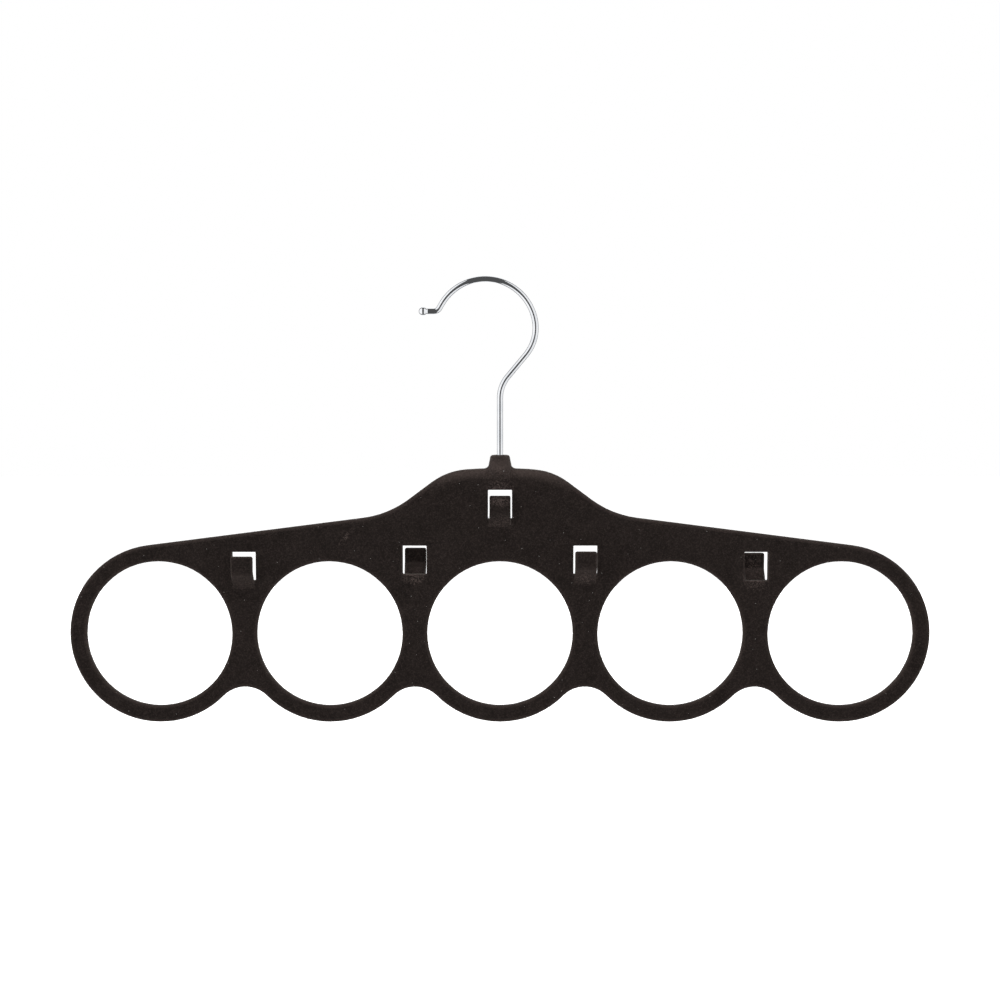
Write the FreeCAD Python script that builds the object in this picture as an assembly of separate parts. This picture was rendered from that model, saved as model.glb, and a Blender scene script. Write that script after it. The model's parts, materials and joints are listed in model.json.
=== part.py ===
import FreeCAD, Part
import math
import os

# Scarf hanger: a flocked plastic frame with five scarf rings and five tongue hooks, hung from a swivelling
# wire hook. Millimetres, +Z up, the front faces -Y. The origin is where a level hanger bears on the rail:
# inside the crook, straight above the swivel axis.

# Rings
ring_count = 5
ring_bore_radius = 38.1
ring_web = 12.8
ring_band = 8.5
ring_land = 1.8
scallop_radius = 16.0

# Plate
plate_thickness = 5.0
coat_thickness = 0.5
rim_land = 1.0

# Arms, shoulders and crown, seen from the front
arm_angle = 7.3
crown_over_arms = 16.7
crown_radius = 250.0
shoulder_radius = 34.0
ramp_angle = 36.6
ramp_out = 41.7
ramp_height_share = 0.461
hollow_radius = 50.0

# Neck boss that holds the wire
neck_height = 6.85
neck_top_radius = 4.8
neck_taper = 11.5
neck_round = 1.3
neck_fillet = 3.2
neck_blade_sink = 0.3
neck_blade_drop = 1.2
neck_blade_round = 2.5
belly_drop = 1.3
belly_round = 3.0
boss_foot_radius = 1.6

# Swivel socket inside the neck
socket_depth = 10.6
socket_floor = 4.0
swivel_clearance = 0.05
head_clearance = 0.1
coat_hole_clearance = 0.3

# Tongue hooks and the windows they are cut from
window_height = 15.4
tongue_width = 10.95
tongue_side_gap = 0.95
outer_tip_gap = 1.95
inner_tip_gap = 2.6
tongue_throat = 5.6
tongue_thickness = 2.6
tongue_lean = 45.0
tongue_bend_radius = 1.5
tongue_edge_round = 0.9
window_corner = 0.6
window_edge_round = 0.5
outer_window_drop = 9.5
inner_window_drop = 17.6
centre_window_drop = 10.9

# Wire hook
wire_diameter = 3.2
shank_length = 29.7
swan_radius = 17.1
swan_turn = 39.8
lean_length = 14.7
heel_radius = 21.75
heel_turn = 51.9
crook_radius = 26.1
crook_turn = 137.7
tip_drop = 2.4
tip_bend_radius = 3.2
tip_length = 5.6
tip_ball_diameter = 4.6
tip_waist_diameter = 2.9
tip_waist_length = 0.6
head_lip = 1.0
head_height = 1.6

# Cuts run past the faces by this much, and points closer than the tolerance are one point
overrun = 2.0
same_point = 0.000001
round_limit_share = 0.45

# Sizes that follow from the ones above
wire_radius = wire_diameter / 2
ring_outer_radius = ring_bore_radius + ring_band
ring_pitch = 2 * ring_bore_radius + ring_web
window_width = tongue_width + 2 * tongue_side_gap
end_ring_out = ring_pitch * (ring_count - 1) / 2
FRONT = -1
BACK = 1


def vector(x, z):
    """A point of the front view."""
    return FreeCAD.Vector(x, 0, z)


def facing(angle):
    """The unit direction at an angle, in degrees, from +X towards +Z."""
    return vector(math.cos(math.radians(angle)), math.sin(math.radians(angle)))


def angle_of(direction):
    return math.degrees(math.atan2(direction.z, direction.x))


def arm_edge_rise(out):
    """Height of the straight upper edge of an arm above the ring row, at a distance from the centre line."""
    tangent = vector(end_ring_out, 0) + facing(90 - arm_angle) * ring_outer_radius
    return tangent.z + (tangent.x - out) * math.tan(math.radians(arm_angle))


crown_rise = arm_edge_rise(0) + crown_over_arms
neck_top_rise = crown_rise + neck_height


def walk_wire():
    """The wire's centre line above the ring row: its edges, the crook's centre and the start of the tip."""
    edges = []
    place = vector(0, neck_top_rise - socket_depth)
    heading = 90.0

    def go(length):
        nonlocal place
        end = place + facing(heading) * length
        edges.append(Part.LineSegment(place, end).toShape())
        place = end

    def turn(radius, degrees):
        nonlocal place, heading
        side = 1 if degrees > 0 else -1
        centre = place + facing(heading + 90 * side) * radius
        middle = centre + facing(heading + degrees / 2 - 90 * side) * radius
        end = centre + facing(heading + degrees - 90 * side) * radius
        edges.append(Part.Arc(place, middle, end).toShape())
        place = end
        heading += degrees
        return centre

    go(socket_depth + shank_length)
    turn(swan_radius, -swan_turn)
    go(lean_length)
    turn(heel_radius, heel_turn)
    crook_centre = turn(crook_radius, crook_turn)
    go(tip_drop)
    turn(tip_bend_radius, 180 - heading)
    return edges, crook_centre, place


wire_edges, crook_centre, tip_start = walk_wire()
crook_inner_radius = crook_radius - wire_radius
saddle_rise = crook_centre.z + math.sqrt(crook_inner_radius ** 2 - crook_centre.x ** 2)
ring_row = vector(0, -saddle_rise)


def meet_circle(start, direction, centre, radius):
    """Where a line, followed along its direction, first meets a circle."""
    across = start - centre
    half = across.dot(direction)
    reach = math.sqrt(half ** 2 - across.dot(across) + radius ** 2)
    return start + direction * (-half - reach)


def meet_line(start, direction, other, other_direction):
    """Where two lines of the front view cross."""
    gap = other - start
    turn = direction.x * other_direction.z - direction.z * other_direction.x
    along = (gap.x * other_direction.z - gap.z * other_direction.x) / turn
    return start + direction * along


def right_half_arcs():
    """Arcs of the plate's right half from the neck to the foot of the middle ring, above the ring row.

    Each is a centre, a radius, and the outward directions at its two ends. A hollow arc has a minus radius.
    Neighbours share a direction, so the straight runs between them are tangent to both.
    """
    neck_normal = neck_taper
    blade_half = neck_top_radius + neck_height * math.tan(math.radians(neck_taper)) - neck_blade_sink
    blade_foot = vector(blade_half, crown_rise)
    blade_corner = meet_line(
        blade_foot - facing(neck_normal) * neck_blade_round,
        facing(neck_normal + 90),
        vector(0, neck_top_rise - neck_blade_drop - neck_blade_round),
        facing(0),
    )

    crown_centre = vector(0, crown_rise - crown_radius)
    fillet_line = blade_foot + facing(neck_normal) * neck_fillet
    down_neck = facing(neck_normal - 90)
    fillet_centre = meet_circle(fillet_line, down_neck, crown_centre, crown_radius + neck_fillet)
    crown_start = angle_of(fillet_centre - crown_centre)

    arm_normal = 90 - arm_angle
    ramp_normal = 90 - ramp_angle
    arm_rise = arm_edge_rise(ramp_out)
    ramp_point = vector(ramp_out, arm_rise + (crown_rise - arm_rise) * ramp_height_share)
    down_ramp = facing(ramp_normal - 90)
    shoulder_line = ramp_point - facing(ramp_normal) * shoulder_radius
    shoulder_centre = meet_circle(shoulder_line, down_ramp, crown_centre, crown_radius - shoulder_radius)
    crown_end = angle_of(shoulder_centre - crown_centre)
    hollow_centre = meet_line(
        ramp_point + facing(ramp_normal) * hollow_radius,
        down_ramp,
        vector(ramp_out, arm_rise) + facing(arm_normal) * hollow_radius,
        facing(-arm_angle),
    )

    half_pitch = ring_pitch / 2
    scallop_drop = math.sqrt((ring_outer_radius + scallop_radius) ** 2 - half_pitch ** 2)
    inward = angle_of(vector(-half_pitch, -scallop_drop))
    outward = angle_of(vector(half_pitch, -scallop_drop))

    arcs = [
        (blade_corner, neck_blade_round, 90, neck_normal),
        (fillet_centre, -neck_fillet, neck_normal, crown_start),
        (crown_centre, crown_radius, crown_start, crown_end),
        (shoulder_centre, shoulder_radius, crown_end, ramp_normal),
        (hollow_centre, -hollow_radius, ramp_normal, arm_normal),
        (vector(end_ring_out, 0), ring_outer_radius, arm_normal, inward),
    ]
    for place in range(ring_count // 2 - 1, -1, -1):
        scallop_centre = vector((place + 1) * ring_pitch - half_pitch, -scallop_drop)
        arcs.append((scallop_centre, -scallop_radius, inward, outward))
        last = inward if place else -90
        arcs.append((vector(place * ring_pitch, 0), ring_outer_radius, outward, last))
    return arcs


def plate_outline(inset):
    """The closed front outline of the plate, drawn in evenly by the inset."""
    edges = []
    before = None
    for centre, radius, start, end in right_half_arcs():
        reach = radius - inset
        points = [ring_row + centre + facing(a) * reach for a in (start, (start + end) / 2, end)]
        before = before or vector(0, points[0].z)
        if before.distanceToPoint(points[0]) > same_point:
            edges.append(Part.LineSegment(before, points[0]).toShape())
        edges.append(Part.Arc(*points).toShape())
        before = points[-1]
    right = Part.Wire(edges)
    left = right.mirror(FreeCAD.Vector(), FreeCAD.Vector(1, 0, 0))
    return Part.Wire(Part.__sortEdges__(right.Edges + left.Edges))


def rounded_outline(corners):
    """A closed wire through corners, each given as a point and the radius that rounds it."""
    edges = []
    ends = []
    count = len(corners)
    for i, (point, radius) in enumerate(corners):
        back = (corners[i - 1][0] - point).normalize()
        ahead = (corners[(i + 1) % count][0] - point).normalize()
        half_angle = back.getAngle(ahead) / 2
        if radius <= 0:
            ends.append((point, point))
            continue
        run = radius / math.tan(half_angle)
        middle_way = (back + ahead).normalize()
        middle = point + middle_way * (radius / math.sin(half_angle) - radius)
        ends.append((point + back * run, point + ahead * run))
        edges.append(Part.Arc(ends[-1][0], middle, ends[-1][1]).toShape())
    for i in range(count):
        start = ends[i][1]
        end = ends[(i + 1) % count][0]
        if start.distanceToPoint(end) > same_point:
            edges.append(Part.LineSegment(start, end).toShape())
    return Part.Wire(Part.__sortEdges__(edges))


def tongue_places():
    """Each window's place along the row, its top's height above the ring row, its side and its tip gap."""
    half_pitch = ring_pitch / 2
    inner_top = arm_edge_rise(half_pitch) - inner_window_drop
    outer_top = arm_edge_rise(half_pitch + ring_pitch) - outer_window_drop
    return [
        (-half_pitch - ring_pitch, outer_top, FRONT, outer_tip_gap),
        (-half_pitch, inner_top, BACK, inner_tip_gap),
        (0, crown_rise - centre_window_drop, FRONT, inner_tip_gap),
        (half_pitch, inner_top, FRONT, inner_tip_gap),
        (half_pitch + ring_pitch, outer_top, BACK, outer_tip_gap),
    ]


def window_outline(out, top_rise, inset):
    """A window in the plate: the moulded one is larger than the coated one by the inset."""
    half = window_width / 2 + inset
    top = top_rise + inset
    bottom = top_rise - window_height - inset
    corners = [(out - half, bottom), (out + half, bottom), (out + half, top), (out - half, top)]
    return rounded_outline([(ring_row + vector(x, z), window_corner + inset) for x, z in corners])


def plate_faces(solid):
    """The flat front and back faces."""
    flats = [face for face in solid.Faces if isinstance(face.Surface, Part.Plane)]
    return [face for face in flats if abs(abs(face.Surface.Axis.y) - 1) < same_point]


def plate(inset):
    """The flat frame with its rings and windows, and with rounded edges."""
    thickness = plate_thickness - 2 * inset
    holes = []
    for i in range(ring_count):
        centre = ring_row + vector(i * ring_pitch - end_ring_out, 0)
        circle = Part.Circle(centre, FreeCAD.Vector(0, 1, 0), ring_bore_radius + inset)
        holes.append(Part.Wire(circle.toShape()))
    for out, top_rise, side, tip_gap in tongue_places():
        holes.append(window_outline(out, top_rise, inset))
    face = Part.makeFace([plate_outline(inset)] + holes, "Part::FaceMakerBullseye")
    solid = face.extrude(FreeCAD.Vector(0, thickness, 0))
    solid.translate(FreeCAD.Vector(0, -thickness / 2, 0))

    rim_round = (thickness - rim_land) / 2
    ring_round = (thickness - ring_land) / 2
    window_round = window_edge_round - inset
    for radius, wanted in ((rim_round, "rim"), (ring_round, "ring"), (window_round, "window")):
        if radius <= same_point:
            continue
        edges = []
        for flat in plate_faces(solid):
            for wire in flat.Wires:
                kind = "window"
                if wire.isSame(flat.OuterWire):
                    kind = "rim"
                elif len(wire.Edges) == 1:
                    kind = "ring"
                if kind == wanted:
                    edges += wire.Edges
        solid = solid.makeFillet(radius, edges)
    return solid


def neck_boss(inset):
    """The round neck, whose belly runs back into the plate's two faces."""
    top = neck_top_rise - inset
    belly = crown_rise - belly_drop
    foot = neck_top_rise - socket_depth - socket_floor
    grow = math.tan(math.radians(neck_taper))
    top_radius = neck_top_radius - inset
    belly_radius = top_radius + (top - belly) * grow
    profile = rounded_outline([
        (ring_row + vector(0, foot), 0),
        (ring_row + vector(boss_foot_radius, foot), 0),
        (ring_row + vector(belly_radius, belly), belly_round - inset),
        (ring_row + vector(top_radius, top), neck_round - inset),
        (ring_row + vector(0, top), 0),
    ])
    return Part.Face(profile).revolve(FreeCAD.Vector(), FreeCAD.Vector(0, 0, 1), 360)


def tongue(out, top_rise, side, tip_gap, inset):
    """One tongue hook: a strip that leans out of the plate's face and then stands upright by its window."""
    lean = math.radians(tongue_lean)
    half_plate = plate_thickness / 2
    foot = top_rise - window_height
    tip = top_rise - tip_gap - inset
    inner = half_plate + tongue_throat + inset
    outer = half_plate + tongue_throat + tongue_thickness - inset
    inner_shift = inset / math.sin(lean)
    outer_shift = (tongue_thickness - inset) / math.sin(lean)

    def inner_lean(depth):
        return foot + (depth - half_plate) / math.tan(lean) - inner_shift

    def outer_lean(depth):
        return foot + (depth - half_plate) / math.tan(lean) - outer_shift

    strip = tongue_thickness - 2 * inset
    edge_round = min(tongue_edge_round - inset, strip * round_limit_share)
    section = [
        (0, outer_lean(0), 0),
        (outer, outer_lean(outer), tongue_bend_radius + tongue_thickness - inset),
        (outer, tip, edge_round),
        (inner, tip, edge_round),
        (inner, inner_lean(inner), tongue_bend_radius + inset),
        (0, inner_lean(0), 0),
    ]
    left = out - tongue_width / 2 + inset
    corners = []
    for depth, rise, radius in section:
        corners.append((ring_row + FreeCAD.Vector(left, depth * side, rise), radius))
    width = tongue_width - 2 * inset
    solid = Part.Face(rounded_outline(corners)).extrude(FreeCAD.Vector(width, 0, 0))
    side_edges = []
    for edge in solid.Edges:
        middle = edge.CenterOfMass
        on_side = abs(abs(middle.x - out) - width / 2) < same_point
        if on_side and abs(middle.y) > half_plate:
            side_edges.append(edge)
    return solid.makeFillet(edge_round, side_edges)


def frame_blank(inset):
    """The whole frame, drawn in by the inset: none for the flocked surface, the coat for the moulding."""
    solid = plate(inset).fuse(neck_boss(inset))
    for place in tongue_places():
        solid = solid.fuse(tongue(*place, inset))
    return solid.removeSplitter()


def post(radius, bottom_rise, top_rise):
    """A cylinder on the swivel axis between two heights above the ring row."""
    return Part.makeCylinder(radius, top_rise - bottom_rise, ring_row + vector(0, bottom_rise))


def build_frame():
    """The moulded core with its swivel socket, and the flock that covers it."""
    core_blank = frame_blank(coat_thickness)
    seat = neck_top_rise - socket_depth
    head_room = post(
        wire_radius + head_lip + head_clearance,
        seat - head_clearance,
        seat + head_height + head_clearance,
    )
    bore = post(wire_radius + swivel_clearance, seat, neck_top_rise + overrun)
    core = core_blank.cut(head_room.fuse(bore))
    coat_hole = post(wire_radius + coat_hole_clearance, crown_rise, neck_top_rise + overrun)
    coat = frame_blank(0).cut(core_blank).cut(coat_hole)
    return core, coat


def build_hook():
    """The bent wire with its trapped head below and its ball at the tip."""
    path = Part.Wire(wire_edges)
    start = vector(0, neck_top_rise - socket_depth)
    section = Part.Wire(Part.Circle(start, FreeCAD.Vector(0, 0, 1), wire_radius).toShape())
    wire = path.makePipeShell([section], True, True)
    wire.translate(ring_row)
    swept = path.Length * math.pi * wire_radius ** 2
    print("wire volume over section times length:", round(wire.Volume / swept, 5))

    ball_radius = tip_ball_diameter / 2
    waist_radius = tip_waist_diameter / 2
    ball_reach = math.sqrt(ball_radius ** 2 - waist_radius ** 2)
    waist_end = tip_length - ball_reach
    waist_start = waist_end - tip_waist_length
    ball_place = vector(-tip_length, 0)
    profile = Part.Wire([
        Part.LineSegment(vector(0, 0), vector(0, wire_radius)).toShape(),
        Part.LineSegment(vector(0, wire_radius), vector(-waist_start, wire_radius)).toShape(),
        Part.LineSegment(vector(-waist_start, wire_radius), vector(-waist_end, waist_radius)).toShape(),
        Part.Arc(
            vector(-waist_end, waist_radius),
            ball_place + vector(0, ball_radius),
            ball_place + vector(-ball_radius, 0),
        ).toShape(),
        Part.LineSegment(ball_place + vector(-ball_radius, 0), vector(0, 0)).toShape(),
    ])
    tip = Part.Face(profile).revolve(FreeCAD.Vector(), FreeCAD.Vector(1, 0, 0), 360)
    tip.translate(ring_row + tip_start)

    seat = neck_top_rise - socket_depth
    head = post(wire_radius + head_lip, seat, seat + head_height)
    return wire.fuse([tip, head]).removeSplitter()


os.makedirs("parts", exist_ok=True)
frame_core, flock_coat = build_frame()
pieces = {
    "swivel_hook": build_hook(),
    "frame_core": frame_core,
    "flock_coat": flock_coat,
}
for name, shape in pieces.items():
    shape.exportStep("parts/" + name + ".step")
    box = shape.BoundBox
    size = [round(side, 2) for side in (box.XLength, box.YLength, box.ZLength)]
    print(name, "solids", len(shape.Solids), "valid", shape.isValid())
    print("  size", size, "volume", round(shape.Volume, 1))
print("ring row at", round(ring_row.z, 3), "crown rise", round(crown_rise, 3))
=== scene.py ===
# %% [markdown]
# # A flocked scarf hanger
# The hanger is a flat black moulding with five rings and five bent tongues, coated all over with
# short nylon pile, and a chromed wire hook that swivels in its neck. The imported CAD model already
# holds the shapes and the swivel. This lesson dresses it: a camera and a small studio first, then
# the finishes, then the pile itself as a mesh of its own.

# %% Load the frame
import json
import math
import random

import bmesh
import bpy
from mathutils import Matrix, Vector, noise
from mathutils.bvhtree import BVHTree
from mathutils.kdtree import KDTree


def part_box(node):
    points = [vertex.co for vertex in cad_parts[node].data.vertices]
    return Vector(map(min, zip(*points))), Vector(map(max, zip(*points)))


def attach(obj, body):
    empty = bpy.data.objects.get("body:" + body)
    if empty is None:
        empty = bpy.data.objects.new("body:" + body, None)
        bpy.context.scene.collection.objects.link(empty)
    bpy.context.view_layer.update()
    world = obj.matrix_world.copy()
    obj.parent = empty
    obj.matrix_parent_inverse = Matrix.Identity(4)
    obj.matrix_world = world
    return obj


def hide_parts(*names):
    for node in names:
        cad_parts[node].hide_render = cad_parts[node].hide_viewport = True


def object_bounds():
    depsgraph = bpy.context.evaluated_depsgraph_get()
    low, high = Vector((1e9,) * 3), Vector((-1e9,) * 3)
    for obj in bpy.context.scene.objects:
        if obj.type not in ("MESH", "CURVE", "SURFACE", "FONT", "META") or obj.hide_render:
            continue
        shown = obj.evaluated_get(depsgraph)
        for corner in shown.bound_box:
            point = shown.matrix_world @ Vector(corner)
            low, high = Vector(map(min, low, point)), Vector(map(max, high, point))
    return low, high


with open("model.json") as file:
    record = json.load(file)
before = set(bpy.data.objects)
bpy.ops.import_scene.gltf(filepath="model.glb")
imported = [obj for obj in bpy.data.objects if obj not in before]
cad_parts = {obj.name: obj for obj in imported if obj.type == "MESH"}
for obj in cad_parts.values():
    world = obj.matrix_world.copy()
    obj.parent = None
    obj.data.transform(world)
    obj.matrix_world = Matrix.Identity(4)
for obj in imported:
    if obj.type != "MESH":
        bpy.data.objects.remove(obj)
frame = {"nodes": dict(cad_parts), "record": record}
cad_low, cad_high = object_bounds()
scene = bpy.context.scene
mm = 0.001
print("nodes:", sorted(frame["nodes"]), "box:", cad_low, cad_high)

# %% Find the rings, the tongues and the neck
neck_height = 6.85 * mm

mounts = {mount["name"]: Vector(mount["pos_m"]) for mount in frame["record"]["mounts"]}
ring_row = mounts["scarf_ring_3"].z
tongues = [mounts[f"tongue_{number}"] for number in range(1, 6)]
neck_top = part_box("flock_coat")[1].z
neck_base = neck_top - neck_height
print("rings lie at", ring_row, "and the neck stands on", neck_base)

# %% [markdown]
# ## The camera
# The hanger was photographed almost square on, from a little above its middle. The places of the
# five rings in the picture give the distance and the lens: nearer, and the bent tongues would show
# more of their sides. An ordinary perspective camera, aimed at the middle of the hanger, is enough.

# %% Camera
aim_over_rings = 70 * mm
camera_distance = 950 * mm
camera_pitch = math.radians(4.4)
lens_length = 65.7
sensor_width = 36

aim = Vector((0, 0, ring_row + aim_over_rings))
to_camera = Vector((0, -math.cos(camera_pitch), math.sin(camera_pitch)))
camera_data = bpy.data.cameras.new("camera")
camera_data.lens = lens_length
camera_data.sensor_width = sensor_width
camera = bpy.data.objects.new("camera", camera_data)
camera.location = aim + to_camera * camera_distance
camera.rotation_mode = "QUATERNION"
camera.rotation_quaternion = (-to_camera).to_track_quat("-Z", "Y")
scene.collection.objects.link(camera)
scene.camera = camera
print("camera stands at", camera.location)

# %% [markdown]
# ## Small helpers for nodes
# A material is a graph of nodes. A few short helpers keep each graph readable. The first feeds an
# input with a plain value or with another node's output, so the rest can take either. The others
# add a node by its inputs' names, do one sum, carry a value to another range, mix two colours, and
# make or place a group, so that an effect such as grain is built once and used with its own values.


# %% Node helpers
def feed(tree, socket, value):
    """Joins another node's output to an input, or sets a plain value on it."""
    if isinstance(value, bpy.types.NodeSocket):
        tree.links.new(value, socket)
    else:
        socket.default_value = value


def feed_all(tree, node, inputs):
    """Feeds a node's inputs by name."""
    for name, value in inputs.items():
        feed(tree, node.inputs[name], value)


def add_node(tree, kind, inputs=None, **settings):
    """Adds a node, sets its own properties and then feeds its inputs."""
    node = tree.nodes.new(kind)
    for name, value in settings.items():
        setattr(node, name, value)
    feed_all(tree, node, inputs or {})
    return node


def calculate(tree, operation, *values):
    """A Math node on numbers or outputs of other nodes, and its result."""
    node = add_node(tree, "ShaderNodeMath", operation=operation)
    for socket, value in zip(node.inputs, values):
        feed(tree, socket, value)
    return node.outputs[0]


def rescale(tree, value, start, end, low=0, high=1):
    """Carries a value from the range start to end to the range low to high, and keeps it there."""
    ends = {"From Min": start, "From Max": end, "To Min": low, "To Max": high}
    return add_node(tree, "ShaderNodeMapRange", {"Value": value, **ends}).outputs[0]


def mix_colours(tree, share, first, second):
    """One colour turning into another as the share goes from 0 to 1."""
    node = add_node(tree, "ShaderNodeMix", data_type="RGBA", clamp_factor=True)
    for index, value in ((0, share), (6, first), (7, second)):
        feed(tree, node.inputs[index], value)
    return node.outputs[2]


print("node helpers are ready")


# %% Helpers for groups and materials
def new_group(name, inputs, outputs):
    """A shader node group with named float sockets, and its two end nodes."""
    group = bpy.data.node_groups.new(name, "ShaderNodeTree")
    for socket, value in inputs.items():
        kind = "NodeSocketVector" if socket == "Vector" else "NodeSocketFloat"
        made = group.interface.new_socket(socket, in_out="INPUT", socket_type=kind)
        if kind == "NodeSocketFloat":
            made.default_value = value
    for socket in outputs:
        group.interface.new_socket(socket, in_out="OUTPUT", socket_type="NodeSocketFloat")
    return group, group.nodes.new("NodeGroupInput"), group.nodes.new("NodeGroupOutput")


def place_group(tree, group, inputs):
    """Puts a group into a material with its own values."""
    return add_node(tree, "ShaderNodeGroup", inputs, node_tree=group)


def new_material(name):
    """An empty material with a Principled BSDF already joined to its output."""
    material = bpy.data.materials.new(name)
    material.use_nodes = True
    tree = material.node_tree
    tree.nodes.clear()
    shader = add_node(tree, "ShaderNodeBsdfPrincipled")
    add_node(tree, "ShaderNodeOutputMaterial", {"Surface": shader.outputs["BSDF"]})
    place = add_node(tree, "ShaderNodeTexCoord").outputs["Object"]
    return material, tree, shader, place


print("group and material helpers are ready")

# %% [markdown]
# ## The studio
# The picture is a cut-out on white, so the floor and everything behind the hanger read as white.
# The chrome tells where the light stood: bright to the left and right, and dark in front and above,
# because the wire has one dark line along its middle and a dark crook. Two oval walls of light at the
# sides give that, in a room that is dark to mirrors. A tall roll of white paper behind, which only
# mirrors see, keeps the dark band on the crook narrow. A panel behind, a box above and a fill in front
# reach the pile alone: like the floor, they are kept out of mirrors, so that they don't spoil the lines
# along the wire.

# %% Floor
floor_drop = 130 * mm
floor_half = 4.0
paper_grey = (0.7, 0.7, 0.7, 1)
paper_roughness = 0.9
white = (1, 1, 1, 1)

floor_shape = bmesh.new()
bmesh.ops.create_grid(floor_shape, x_segments=1, y_segments=1, size=floor_half)
bmesh.ops.translate(floor_shape, verts=floor_shape.verts, vec=(0, 0, cad_low.z - floor_drop))
floor_mesh = bpy.data.meshes.new("floor")
floor_shape.to_mesh(floor_mesh)
floor_shape.free()
floor = bpy.data.objects.new("floor", floor_mesh)
scene.collection.objects.link(floor)
floor.visible_glossy = False

paper, paper_tree, paper_shader, _ = new_material("white_paper")
feed_all(paper_tree, paper_shader, {
    "Base Color": paper_grey,
    "Roughness": paper_roughness,
    "Emission Color": white,
    "Emission Strength": add_node(paper_tree, "ShaderNodeLightPath").outputs["Is Camera Ray"],
})
floor_mesh.materials.append(paper)
print("floor lies", floor_drop, "m under the hanger")

# %% World
room_shine = 0.09
roll_shine = 1.1
roll_half_share = 0.7
roll_reach = math.radians(72)

world = bpy.data.worlds.new("studio")
scene.world = world
world.use_nodes = True
sky = world.node_tree
sky.nodes.clear()
ray = add_node(sky, "ShaderNodeLightPath")
toward = add_node(sky, "ShaderNodeTexCoord").outputs["Generated"]
way = add_node(sky, "ShaderNodeSeparateXYZ", {"Vector": toward})

sideways = calculate(sky, "ABSOLUTE", calculate(sky, "DIVIDE", way.outputs["X"], way.outputs["Y"]))
within = calculate(sky, "LESS_THAN", sideways, roll_half_share)
behind = calculate(sky, "GREATER_THAN", way.outputs["Y"], math.cos(roll_reach))
on_roll = calculate(sky, "MULTIPLY", within, behind)
mirrored = calculate(sky, "MULTIPLY", on_roll, ray.outputs["Is Glossy Ray"])
glow = calculate(sky, "MULTIPLY_ADD", mirrored, roll_shine - room_shine, room_shine)

shine = add_node(sky, "ShaderNodeBackground", {"Color": white, "Strength": glow})
seen = add_node(sky, "ShaderNodeBackground", {"Color": white, "Strength": 1})
choose = add_node(sky, "ShaderNodeMixShader")
choices = (ray.outputs["Is Camera Ray"], shine.outputs[0], seen.outputs[0])
for socket, output in zip(choose.inputs, choices):
    feed(sky, socket, output)
add_node(sky, "ShaderNodeOutputWorld", {"Surface": choose.outputs[0]})
scene.view_settings.view_transform = "Standard"
print("world:", world.name, "with", len(sky.nodes), "nodes")


# %% Lights
def softbox(name, place, target, width, height, watts, in_mirrors=False):
    """An oval light that the camera itself doesn't see, and mirrors only if wanted."""
    data = bpy.data.lights.new(name, "AREA")
    data.shape = "ELLIPSE"
    data.size = width
    data.size_y = height
    data.energy = watts
    light = bpy.data.objects.new(name, data)
    light.location = place
    light.rotation_mode = "QUATERNION"
    light.rotation_quaternion = (Vector(target) - Vector(place)).to_track_quat("-Z", "Y")
    light.visible_camera = False
    light.visible_glossy = in_mirrors
    scene.collection.objects.link(light)


wall_out = 1.05
wall_middle = -0.95
wall_size = {"width": 2.9, "height": 5.8}
for side, name, watts in ((-1, "left_wall", 43), (1, "right_wall", 38)):
    wall_place = (side * wall_out, wall_middle, aim.z)
    facing_across = (0, wall_middle, aim.z)
    softbox(name, wall_place, facing_across, **wall_size, watts=watts, in_mirrors=True)
softbox("back_panel", place=(0, 1.5, 0.2), target=aim, width=2.6, height=1.8, watts=22)
softbox("top_box", place=(0, -0.2, 1.2), target=aim, width=1.6, height=0.8, watts=10)
softbox("front_fill", place=(0, -1.6, 0.0), target=aim, width=1.3, height=0.9, watts=13)
print("lights:", sorted(bpy.data.lights.keys()))

# %% [markdown]
# ## Chromed wire
# The hook is bright chrome over drawn steel wire. Chrome has hardly any colour of its own: it is a
# mirror, so its look comes from the lights, and only its roughness changes a little where hands and
# rails have dulled it. A noise with large soft patches drives that. A bump would break the clean lines
# of light along the wire, so there is none. The CAD wire has the right shape and keeps its mesh.

# %% Group: soft patches
patch_start = 0.32
patch_end = 0.68

patch_values = {"Vector": None, "Size": 10 * mm}
patches, patches_in, patches_out = new_group("Soft Patches", patch_values, ["Value"])
patch_noise = add_node(patches, "ShaderNodeTexNoise", {
    "Vector": patches_in.outputs["Vector"],
    "Scale": calculate(patches, "DIVIDE", 1, patches_in.outputs["Size"]),
    "Detail": 3,
    "Roughness": 0.55,
})
patch_value = rescale(patches, patch_noise.outputs[0], patch_start, patch_end)
feed(patches, patches_out.inputs["Value"], patch_value)
print("group:", patches.name)

# %% Chrome
dull_patch = 9 * mm
bright_roughness = 0.04
dull_roughness = 0.11
bright_chrome = (0.84, 0.85, 0.87, 1)
dull_chrome = (0.74, 0.76, 0.79, 1)


def chrome_finish():
    """Bright plated wire: a mirror with soft dull patches and faintly uneven colour."""
    material, tree, shader, place = new_material("chromed_wire_finish")
    dull = place_group(tree, patches, {"Vector": place, "Size": dull_patch}).outputs["Value"]
    feed_all(tree, shader, {
        "Metallic": 1,
        "Roughness": rescale(tree, dull, 0, 1, bright_roughness, dull_roughness),
        "Base Color": mix_colours(tree, dull, bright_chrome, dull_chrome),
    })
    return material


hook = frame["nodes"]["swivel_hook"]
hook.material_slots[0].material = chrome_finish()
print("chrome on", hook.name)

# %% [markdown]
# ## Moulded core
# Under the pile is a plain black moulding. It never shows, but it is there, so it gets the finish
# that it has on the bench: satin black plastic with a fine moulded grain.

# %% Core plastic
moulded_grain = 0.8 * mm
moulded_depth = 0.03 * mm
dark_plastic = (0.010, 0.010, 0.011, 1)
pale_plastic = (0.016, 0.016, 0.017, 1)


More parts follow.
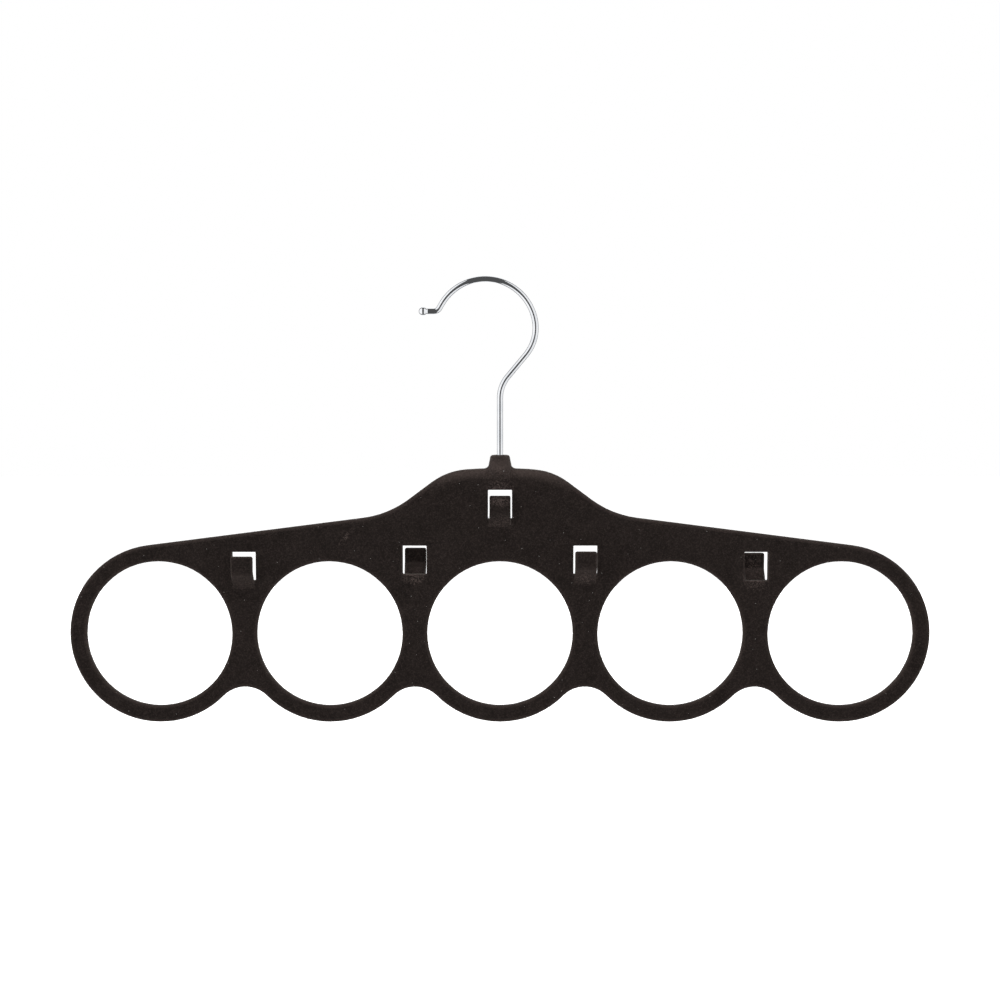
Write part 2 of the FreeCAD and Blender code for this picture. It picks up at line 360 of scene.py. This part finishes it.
def core_finish():
    """Satin black moulded plastic with a fine grain."""
    material, tree, shader, place = new_material("moulded_core_finish")
    speckle = place_group(tree, patches, {"Vector": place, "Size": moulded_grain}).outputs["Value"]
    relief = {"Strength": 0.2, "Distance": moulded_depth, "Height": speckle}
    feed_all(tree, shader, {
        "Roughness": 0.5,
        "Base Color": mix_colours(tree, speckle, dark_plastic, pale_plastic),
        "Normal": add_node(tree, "ShaderNodeBump", relief).outputs["Normal"],
    })
    return material


core = frame["nodes"]["frame_core"]
core.material_slots[0].material = core_finish()
print("plastic on", core.name)

# %% [markdown]
# ## Black flock
# Flock is a coat of half-millimetre fibres shot into wet glue. Seen square on it swallows light, and
# at a glancing angle its fibre sides catch it: a little sheen in the shader does that. Close up the
# pile is grainy, it lies a little differently from patch to patch, and pale lint clings to it. Grain
# and lint are cells of a Voronoi texture: each cell has a random tone of its own, and a fleck is the
# middle of a cell that was drawn to have one.

# %% Group: pile grain
grain_contrast = 2.2

grain_values = {"Vector": None, "Size": 0.5 * mm}
grain, grain_in, grain_out = new_group("Pile Grain", grain_values, ["Tone", "Height"])
grain_cells = add_node(grain, "ShaderNodeTexVoronoi", {
    "Vector": grain_in.outputs["Vector"],
    "Scale": calculate(grain, "DIVIDE", 1, grain_in.outputs["Size"]),
    "Randomness": 1,
})
grain_split = add_node(grain, "ShaderNodeSeparateColor", {"Color": grain_cells.outputs["Color"]})
grain_tone = calculate(grain, "POWER", grain_split.outputs[0], grain_contrast)
grain_height = rescale(grain, grain_cells.outputs["Distance"], 0, 1, low=1, high=0)
feed_all(grain, grain_out, {"Tone": grain_tone, "Height": grain_height})
print("group:", grain.name)

# %% Group: lint flecks
lint_values = {"Vector": None, "Spacing": 6 * mm, "Fleck": 0.06, "Amount": 0.4}
lint, lint_in, lint_out = new_group("Lint Flecks", lint_values, ["Mask"])
lint_cells = add_node(lint, "ShaderNodeTexVoronoi", {
    "Vector": lint_in.outputs["Vector"],
    "Scale": calculate(lint, "DIVIDE", 1, lint_in.outputs["Spacing"]),
    "Randomness": 1,
})
lint_split = add_node(lint, "ShaderNodeSeparateColor", {"Color": lint_cells.outputs["Color"]})
lint_here = calculate(lint, "LESS_THAN", lint_split.outputs[0], lint_in.outputs["Amount"])
lint_size = calculate(lint, "MULTIPLY", lint_split.outputs[1], lint_in.outputs["Fleck"])
lint_near = calculate(lint, "LESS_THAN", lint_cells.outputs["Distance"], lint_size)
feed(lint, lint_out.inputs["Mask"], calculate(lint, "MULTIPLY", lint_near, lint_here))
print("group:", lint.name)

# %% [markdown]
# The neck is painted paler: a painted highlight for the light that its rounded boss catches. On the
# front there are pale spots. One brushed streak left of the middle is a mark of use on the pile. The
# others are painted light: the lit roots on the plate below each tongue, the lit parts of the middle
# and right tongues, and the foot of the neck, painted paler where the boss shades it. Each spot is a
# soft oval that a Mapping node places, kept off the back by the sign of the normal, and broken up by
# the grain.

# %% Pale spots: a brushed streak and painted light
root_drop = 6.7 * mm
root_half = (7.5 * mm, 5.0 * mm)
root_weights = (0.2, 1.2, 0.6, 0.7, 0.9)

rubbed_and_lit_spots = []


def add_wear_and_light_spot(x, z, half, weight, turn=0):
    """Notes a pale spot, worn or painted light: its middle, half its width and height, how pale it is,
    and its turn.
    """
    rubbed_and_lit_spots.append(((x, z), turn, half, weight))


middle_tongue = tongues[2]
right_tongue = tongues[4]
# A brushed streak in the pile, left of the middle: a mark of use.
add_wear_and_light_spot(x=-80 * mm, z=ring_row + 51.2 * mm, half=(7.0 * mm, 1.3 * mm), weight=1.3, turn=-49)
# Painted light: the lit roots on the plate below each tongue.
for tongue, root_weight in zip(tongues, root_weights):
    add_wear_and_light_spot(tongue.x, tongue.z - root_drop, root_half, root_weight)
# Painted highlights on the lit parts of the middle tongue and the right tongue.
add_wear_and_light_spot(middle_tongue.x, z=middle_tongue.z + 4.4 * mm, half=(7.0 * mm, 3.4 * mm), weight=1.3)
add_wear_and_light_spot(middle_tongue.x, z=middle_tongue.z + 10.6 * mm, half=(8.5 * mm, 3.6 * mm), weight=1.0)
add_wear_and_light_spot(right_tongue.x, z=right_tongue.z + 3.0 * mm, half=(7.5 * mm, 8.0 * mm), weight=0.8)
# Painted light on the plate at the foot of the neck, where the boss shades it.
add_wear_and_light_spot(x=0, z=neck_base - 5 * mm, half=(10 * mm, 7 * mm), weight=0.5)
print("rubbed and lit spots:", len(rubbed_and_lit_spots))

# %% Masks for the neck and the spots
neck_fade_below = 1.5 * mm
neck_fade_above = 1.0 * mm
spot_full_share = 0.1


# The neck mask is a painted highlight: the neck is made paler for the light that its rounded boss
# catches.
def neck_highlight_mask(tree, place):
    """1 on the neck, fading out on the plate under it."""
    split = add_node(tree, "ShaderNodeSeparateXYZ", {"Vector": place})
    return rescale(tree, split.outputs["Z"], neck_base - neck_fade_below, neck_base + neck_fade_above)


def spot_mask(tree, place, facing, breakup, middle, turn, half):
    """A soft oval spot on what faces the front, broken up by the grain."""
    lay = add_node(tree, "ShaderNodeMapping", {
        "Vector": place,
        "Location": (middle[0], 0, middle[1]),
        "Rotation": (0, math.radians(turn), 0),
        "Scale": (half[0], 1, half[1]),
    }, vector_type="TEXTURE")
    reach = add_node(tree, "ShaderNodeVectorMath", {"Vector": lay.outputs[0]}, operation="LENGTH")
    fade = rescale(tree, reach.outputs["Value"], spot_full_share, 1, low=1, high=0)
    split = add_node(tree, "ShaderNodeSeparateXYZ", {"Vector": facing})
    front = calculate(tree, "LESS_THAN", split.outputs["Y"], 0)
    return calculate(tree, "MULTIPLY", calculate(tree, "MULTIPLY", fade, front), breakup)


def weighted_sum(tree, parts):
    """Adds up outputs, each times its weight, with a chain of multiply-add nodes."""
    total = 0
    for output, weight in parts:
        total = calculate(tree, "MULTIPLY_ADD", output, weight, total)
    return total


print("masks are ready")

# %% [markdown]
# The finish itself adds the masks up, each with a weight of its own, and lets the sum turn the dark
# tone of the pile into its pale one. Two of the masks are attributes that the pile's mesh will carry.
# The rim is 0 on the flat faces and 1 where the surface has turned sideways. It is painted sheen: the
# rounded edges are made paler in the colour for the light that their fibres catch. The crown is a pale
# band along the top edge, where the light from above and behind grazes the fibres.

# %% Flock
tuft_grain = 0.5 * mm
tuft_depth = 0.15 * mm
lie_patch = 11 * mm
lint_look = {"Spacing": 4.0 * mm, "Fleck": 0.09, "Amount": 0.9}
dark_pile = (0.0068, 0.0048, 0.0042, 1)
pale_pile = (0.0572, 0.0430, 0.0388, 1)
lint_grey = (0.30, 0.29, 0.28, 1)
sheen_tint = (1.0, 0.87, 0.80, 1)
# The rim, crown and neck masks paint light into the colour: sheen on the edges, a highlight along the
# top and a paler neck. The tufts and the lie are the pile's own tone.
mask_weights = {"tufts": 0.27, "lie": 0.07, "rim": 0.30, "crown": 0.60, "neck": 0.13}


def flock_finish():
    """Short black pile: dark face on, paler at a glance, grainy, patchy and a little linty."""
    material, tree, shader, place = new_material("black_flock_finish")
    tufts = place_group(tree, grain, {"Vector": place, "Size": tuft_grain})
    lie = place_group(tree, patches, {"Vector": place, "Size": lie_patch})
    flecks = place_group(tree, lint, {"Vector": place, **lint_look})
    masks = {
        "tufts": tufts.outputs["Tone"],
        "lie": lie.outputs["Value"],
        "rim": add_node(tree, "ShaderNodeAttribute", attribute_name="rim").outputs["Fac"],
        "crown": add_node(tree, "ShaderNodeAttribute", attribute_name="crown").outputs["Fac"],
        "neck": neck_highlight_mask(tree, place),
    }
    parts = [(masks[name], weight) for name, weight in mask_weights.items()]
    facing = add_node(tree, "ShaderNodeTexCoord").outputs["Normal"]
    for middle, turn, half, weight in rubbed_and_lit_spots:
        parts.append((spot_mask(tree, place, facing, masks["tufts"], middle, turn, half), weight))
    tone = mix_colours(tree, weighted_sum(tree, parts), dark_pile, pale_pile)
    relief = {"Strength": 0.6, "Distance": tuft_depth, "Height": tufts.outputs["Height"]}
    feed_all(tree, shader, {
        "Base Color": mix_colours(tree, flecks.outputs["Mask"], tone, lint_grey),
        "Roughness": 0.95,
        "Specular IOR Level": 0.1,
        "Sheen Weight": 0.12,
        "Sheen Roughness": 0.45,
        "Sheen Tint": sheen_tint,
        "Normal": add_node(tree, "ShaderNodeBump", relief).outputs["Normal"],
    })
    return material


flock = flock_finish()
print("flock:", flock.name)

# %% [markdown]
# ## The pile as a mesh
# The CAD coat is a thin shell with two skins, and its flat faces are a few long triangles. A copy of
# it becomes the pile. First its corners are merged, and the skin that lies on the moulding is taken
# away, because it never shows. Then planes slice the flats into a grid of small faces, halving them
# again and again so that no plane meets the whole mesh. That grid can carry marks and a real relief.

# %% Copy the coat and keep its outer skin
same_spot = 0.001 * mm
on_the_core = 0.12 * mm

core_shape = bmesh.new()
core_shape.from_mesh(core.data)
core_skin = BVHTree.FromBMesh(core_shape)
core_shape.free()

coat = frame["nodes"]["flock_coat"]
pile = bmesh.new()
pile.from_mesh(coat.data)
bmesh.ops.remove_doubles(pile, verts=pile.verts, dist=same_spot)


def lies_on_core(face):
    """True for a face of the inner skin: it is on the moulding and looks into it."""
    _, normal, _, distance = core_skin.find_nearest(face.calc_center_median())
    return distance < on_the_core and normal.dot(face.normal) < 0


inner_skin = [face for face in pile.faces if lies_on_core(face)]
bmesh.ops.delete(pile, geom=inner_skin, context="FACES")
open_edges = [edge for edge in pile.edges if edge.is_boundary]
bmesh.ops.holes_fill(pile, edges=open_edges, sides=len(open_edges))
print("outer skin:", len(pile.faces), "faces, closed at the wire with", len(open_edges), "edges")

# %% Slice the flats into an even grid
slice_width = 2.5 * mm
flat_share = 0.999


def slice_faces(faces, axis, first, count):
    """Halves a set of faces with planes across one axis, again and again, down to single slices."""
    if count < 2 or not faces:
        return list(faces)
    half = count // 2
    cut_place = Vector((0, 0, 0))
    cut_place[axis] = first + half * slice_width
    cut_normal = Vector((0, 0, 0))
    cut_normal[axis] = 1
    edges = {edge for face in faces for edge in face.edges}
    verts = {vert for face in faces for vert in face.verts}
    cut = bmesh.ops.bisect_plane(
        pile, geom=[*faces, *edges, *verts], dist=same_spot, plane_co=cut_place, plane_no=cut_normal
    )
    cut_faces = [part for part in cut["geom"] if isinstance(part, bmesh.types.BMFace)]
    below = [face for face in cut_faces if face.calc_center_median()[axis] < cut_place[axis]]
    above = [face for face in cut_faces if face.calc_center_median()[axis] >= cut_place[axis]]
    lower_slices = slice_faces(below, axis, first, half)
    return lower_slices + slice_faces(above, axis, cut_place[axis], count - half)


flats = [face for face in pile.faces if abs(face.normal.y) > flat_share]
for axis in (0, 2):
    low_end = cad_low[axis]
    slices = math.ceil((cad_high[axis] - low_end) / slice_width)
    flats = slice_faces(flats, axis, low_end, slices)
bmesh.ops.triangulate(pile, faces=[face for face in pile.faces if len(face.verts) > 3])
print("even skin:", len(pile.faces), "faces")

# %% [markdown]
# The finish needs to know where the rims and the crown are, so the mesh says it, corner by corner.
# The rim follows from the tilt of the normal, apart from where the boss under the neck and the roots
# of the backward tongues blend into the plate. The crown needs distances: the corners along the top
# edge go into a search tree, and every corner of the mesh then asks for the nearest of them.

# %% Mark the rims
plate_face = 2.55 * mm
rim_tilt = math.radians(55)
under_neck = 7 * mm
root_side = 5.6 * mm
root_low = -9.5 * mm
root_high = -3 * mm
root_depth = 2 * mm


def clamp(share):
    """A share kept between 0 and 1."""
    return min(max(share, 0), 1)


def tilt_of(vert):
    """How far a corner's normal has turned away from the front or the back."""
    return math.acos(min(abs(vert.normal.y), 1))


def on_root(spot):
    """True where a tongue that is bent to the back leaves the front of the plate."""
    return spot.y < root_depth and any(
        abs(spot.x - tongue.x) < root_side and root_low < spot.z - tongue.z < root_high
        for tongue in tongues
        if tongue.y > 0
    )


def on_boss(spot):
    """True on the boss that stands out of the plate under the neck."""
    return abs(spot.x) < under_neck and abs(spot.y) > plate_face and spot.z < neck_base


pile.normal_update()
# The rim mark is painted sheen: it makes the rounded edges paler in the colour. The relief below also
# raises the pile by it.
rim_mark = pile.verts.layers.float.new("rim")
for vert in pile.verts:
    blends_in = on_boss(vert.co) or on_root(vert.co)
    vert[rim_mark] = 0 if blends_in else min(tilt_of(vert) / rim_tilt, 1)
print("rim marked on", sum(vert[rim_mark] > 0 for vert in pile.verts), "corners")

# %% Mark the crown
crown_over = 1 * mm
crown_drop = 12 * mm
crown_full = 1.6 * mm
crown_fade = 5.6 * mm
least_upward = 0.75
upward_span = 0.2
neck_foot = 0.8 * mm
neck_foot_weight = 0.6
rim_cover = 0.7

# The crown mark is a painted highlight: a pale band along the top edge and round the foot of the neck,
# where light grazes the fibres.
crown_mark = pile.verts.layers.float.new("crown")
crown_edge = []
for vert in pile.verts:
    tilt = tilt_of(vert)
    on_crown = neck_base - crown_drop < vert.co.z < neck_base + crown_over
    if on_crown and tilt > rim_tilt and vert.normal.z > 0:
        upward = vert.normal.z / math.sin(tilt)
        crown_edge.append((vert.co.copy(), clamp((upward - least_upward) / upward_span)))
    if abs(vert.co.x) < under_neck and abs(vert.co.z - neck_base) < neck_foot:
        crown_edge.append((vert.co.copy(), neck_foot_weight))

nearest_edge = KDTree(len(crown_edge))
for index, (spot, _) in enumerate(crown_edge):
    nearest_edge.insert(spot, index)
nearest_edge.balance()
for vert in pile.verts:
    _, index, distance = nearest_edge.find(vert.co)
    near = 1 - (distance - crown_full) / (crown_fade - crown_full)
    vert[crown_mark] = crown_edge[index][1] * clamp(near) * (1 - rim_cover * vert[rim_mark])
print("crown edge:", len(crown_edge), "corners")

# %% [markdown]
# Now the relief: tufts that stand a little higher or lower than the next, from a coarse and a fine
# noise added up. At the rims the pile stands out sideways and makes the outline a little fuller, and
# in the narrow slots round the tongues it closes in from both sides, so there it grows most.

# %% Raise the tufts
tuft_size = 3.6 * mm
tuft_height = 0.05 * mm
fine_tufts = 2.3
fine_share = 0.6
rim_growth = 0.12 * mm
slot_growth = 0.18 * mm
slot_side = 8 * mm
slot_reach = 11 * mm


def in_slot(spot):
    """True around a tongue, where the walls of its slot are."""
    return any(
        abs(spot.x - tongue.x) < slot_side and abs(spot.z - tongue.z) < slot_reach for tongue in tongues
    )


for vert in pile.verts:
    coarse = vert.co / tuft_size
    swell = noise.noise(coarse) + fine_share * noise.noise(coarse * fine_tufts)
    growth = slot_growth if in_slot(vert.co) else rim_growth
    rise = (swell - 1) * tuft_height + vert[rim_mark] * (growth + tuft_height)
    vert.co += vert.normal * rise
print("tufts raised on", len(pile.verts), "corners")

# %% Make the pile a piece
crease = math.radians(50)


def new_piece(name, shape, material, body):
    """Turns a bmesh into an object of the scene that rides on a CAD body."""
    mesh = bpy.data.meshes.new(name)
    shape.to_mesh(mesh)
    mesh.materials.append(material)
    piece = bpy.data.objects.new(name, mesh)
    scene.collection.objects.link(piece)
    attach(piece, body)
    print(name, "has", len(mesh.polygons), "faces")
    return piece


flock_pile = new_piece("flock_pile", pile, flock, "frame")
flock_pile.data.shade_smooth()
flock_pile.data.set_sharp_from_angle(angle=crease)
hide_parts("flock_coat")

# %% [markdown]
# ## Stray fibres
# Along every edge single fibres stand out of the pile, and they soften the outline. A hair system
# would have to be converted, and a fibre is only a needle, so one three-sided needle is made once and
# copied to random places, most of them on the rims, leaning a little every way. The draw is seeded, so
# that every run grows the same fuzz. Its own small UV map tells the finish where root and tip are.

# %% Fibre finish
fibre_root = (0.008, 0.006, 0.005, 1)
fibre_tip = (0.045, 0.036, 0.032, 1)


def fibre_finish():
    """A black nylon fibre, paler towards its tip where light gets through it."""
    material, tree, shader, _ = new_material("stray_fibre_finish")
    along = add_node(tree, "ShaderNodeUVMap", uv_map="OFBake").outputs[0]
    split = add_node(tree, "ShaderNodeSeparateXYZ", {"Vector": along})
    feed_all(tree, shader, {
        "Base Color": mix_colours(tree, split.outputs["Y"], fibre_root, fibre_tip),
        "Roughness": 0.8,
        "Sheen Weight": 0.1,
    })
    return material


fuzz_finish = fibre_finish()
print("fibres:", fuzz_finish.name)

# %% One fibre
fibre_radius = 0.035 * mm
fibre_length = 0.34 * mm
fibre_sunk = 0.10 * mm
uv_middle = 0.5
uv_half = 0.45

needle = bmesh.new()
bmesh.ops.create_cone(needle, cap_ends=True, segments=3, radius1=fibre_radius, depth=fibre_length)
bmesh.ops.remove_doubles(needle, verts=needle.verts, dist=fibre_radius / 10)
bmesh.ops.translate(needle, verts=needle.verts, vec=(0, 0, fibre_length / 2 - fibre_sunk))
root_to_tip = needle.loops.layers.uv.new("OFBake")
for face in needle.faces:
    for corner in face.loops:
        tip_share = (corner.vert.co.z + fibre_sunk) / fibre_length
        across = uv_middle + uv_half * corner.vert.co.x / fibre_radius
        corner[root_to_tip].uv = (across, tip_share)
needle_mesh = bpy.data.meshes.new("needle")
needle.to_mesh(needle_mesh)
needle.free()
print("a fibre has", len(needle_mesh.polygons), "faces")

# %% Grow the fuzz
draw = random.Random(11)
rim_density = 1.3 / mm**2
flat_density = 0.10 / mm**2
rim_facing = 0.6
lean_most = 0.55
shortest = 0.6
longest = 1.25

fuzz = bmesh.new()
for face in pile.faces:
    density = rim_density if abs(face.normal.y) < rim_facing else flat_density
    for _ in range(int(face.calc_area() * density + draw.random())):
        a, b = sorted((draw.random(), draw.random()))
        corners = [vert.co for vert in face.verts]
        root = corners[0] * a + corners[1] * (b - a) + corners[2] * (1 - b)
        lean = Vector([draw.uniform(-lean_most, lean_most) for _ in range(3)])
        upright = (face.normal + lean).to_track_quat("Z", "Y")
        stretch = (1, 1, draw.uniform(shortest, longest))
        fibre = needle_mesh.copy()
        fibre.transform(Matrix.LocRotScale(root, upright, stretch))
        fuzz.from_mesh(fibre)
        bpy.data.meshes.remove(fibre)
new_piece("stray_fibres", fuzz, fuzz_finish, "frame")
bpy.data.meshes.remove(needle_mesh)
fuzz.free()
pile.free()
